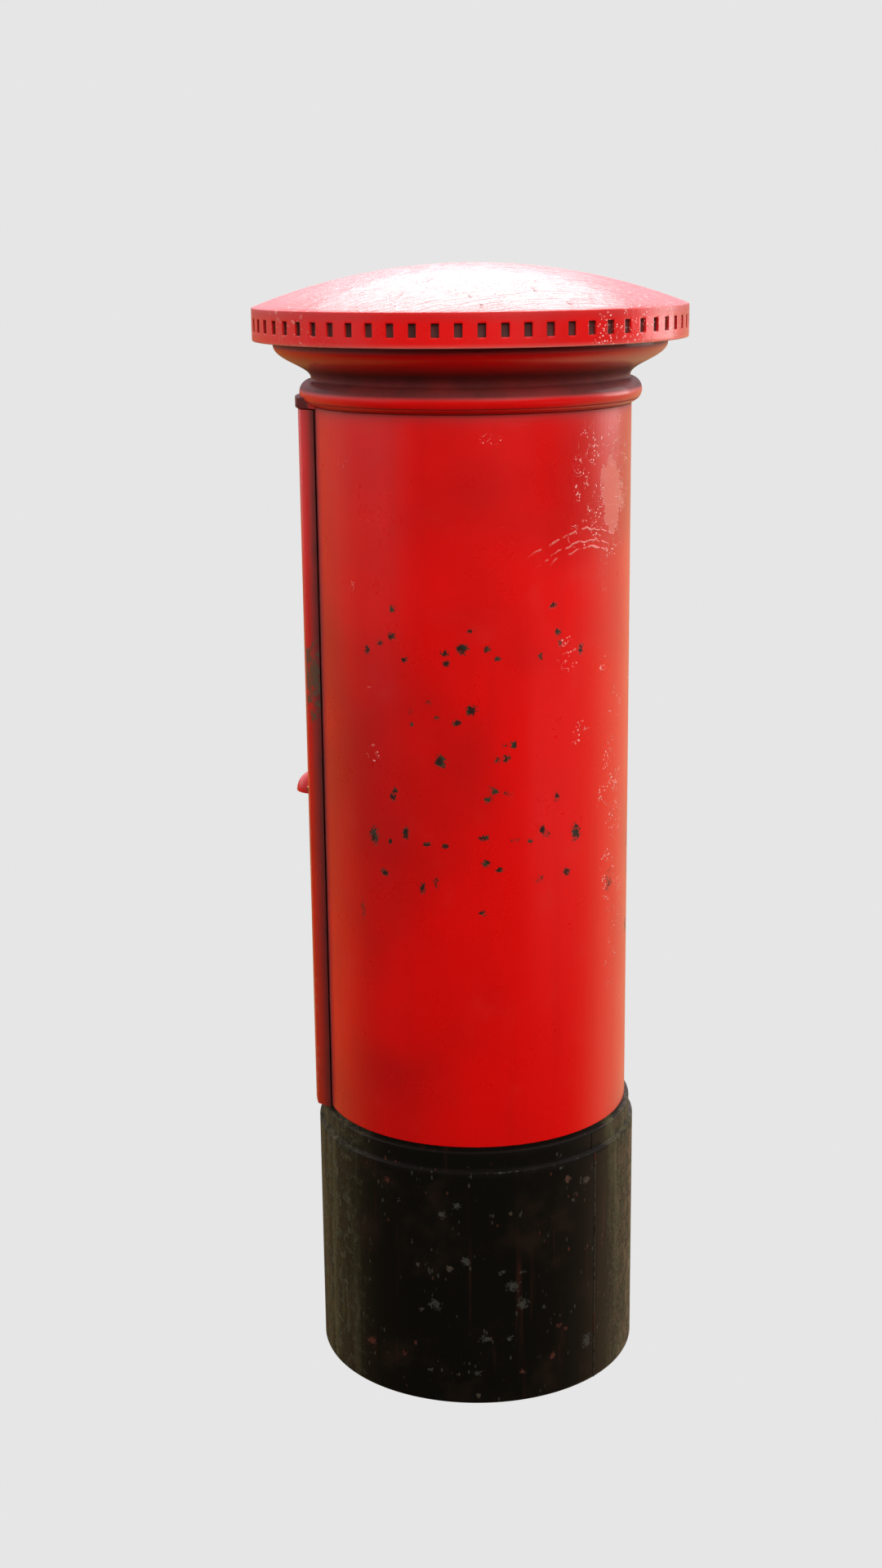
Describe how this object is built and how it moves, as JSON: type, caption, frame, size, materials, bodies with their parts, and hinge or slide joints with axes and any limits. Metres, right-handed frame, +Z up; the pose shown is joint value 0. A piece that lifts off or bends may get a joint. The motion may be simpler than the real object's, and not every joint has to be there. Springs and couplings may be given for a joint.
{
  "type": "mailbox",
  "caption": "Cylindrical cast-iron pillar box with a domed dentilled cap, moulded cornice, black plinth and a full-height hinged door with lock, posting slot and inner wire guard.",
  "frame": {"origin": "centre of the base casting's underside, on the ground", "axes": "+Z up along the body's axis; the door faces -Y, its hinges are at -X and its lock at +X"},
  "size_m": [0.6052, 0.6052, 1.617],
  "materials": {
    "red_paint": "glossy, chipped and weathered",
    "black_paint": "satin, worn",
    "steel": "dull",
    "galvanised": "galvanised",
    "brass": "aged",
    "enamel": "vitreous enamel, blank",
    "glazing": "clear"
  },
  "bodies": {
    "pillar": {"base_casting": "black_paint", "carcase": "red_paint", "cornice": "red_paint", "cap": "red_paint", "floor_plate": "galvanised", "base_bolt_1": "steel", "base_bolt_2": "steel", "base_bolt_3": "steel", "base_bolt_4": "steel", "base_bolt_5": "steel", "base_bolt_6": "steel", "base_nut_1": "steel", "base_nut_2": "steel", "base_nut_3": "steel", "base_nut_4": "steel", "base_nut_5": "steel", "base_nut_6": "steel", "cornice_bolt_1": "steel", "cornice_bolt_2": "steel", "cornice_bolt_3": "steel", "cornice_bolt_4": "steel", "cap_bolt_1": "steel", "cap_bolt_2": "steel", "cap_bolt_3": "steel", "cap_bolt_4": "steel", "hinge_pin_1": "steel", "hinge_pin_2": "steel", "hinge_pin_3": "steel"},
    "door": {"door_leaf": "red_paint", "door_pull": "red_paint", "letter_chute": "galvanised", "lock_case": "steel", "key_tube": "brass", "notice_plate": "enamel", "notice_window": "glazing", "day_tablet": "enamel", "chute_screw_1": "brass", "chute_screw_2": "brass", "chute_screw_3": "brass", "chute_screw_4": "brass", "pull_screw_1": "brass", "pull_screw_2": "brass", "lock_screw_1": "brass", "lock_screw_2": "brass", "cover_pivot_screw": "brass"},
    "bolt": {"lock_bolt": "steel"},
    "spindle": {"lock_spindle": "steel"},
    "escutcheon": {"keyhole_cover": "brass"},
    "guard": {"wire_guard": "galvanised"}
  },
  "joints": [
    {"name": "door_hinge", "type": "hinge", "parent": "pillar", "child": "door", "pos_m": [-0.202, -0.134, 0], "axis": [0, 0, -1], "range_deg": [0, 110]},
    {"name": "guard_hinge", "type": "hinge", "parent": "pillar", "child": "guard", "pos_m": [-0.17, -0.075, 0], "axis": [0, 0, -1], "range_deg": [0, 88]},
    {"name": "key_turn", "type": "hinge", "parent": "door", "child": "spindle", "pos_m": [0.08461, -0.17347, 0.93], "axis": [-0.4384, 0.8988, 0], "range_deg": [0, 90]},
    {"name": "bolt_throw", "type": "slide", "parent": "door", "child": "bolt", "axis": [0.8988, 0.4384, 0], "range_m": [0, 0.016]},
    {"name": "cover_swing", "type": "hinge", "parent": "door", "child": "escutcheon", "pos_m": [0.10617, -0.21769, 0.956], "axis": [0.4384, -0.8988, 0], "range_deg": [-20, 110]}
  ],
  "couplings": [
    {"joint": "guard_hinge", "follows": "door_hinge", "ratio": 0.8},
    {"joint": "bolt_throw", "follows": "key_turn", "m_per_rad": 0.010186}
  ]
}
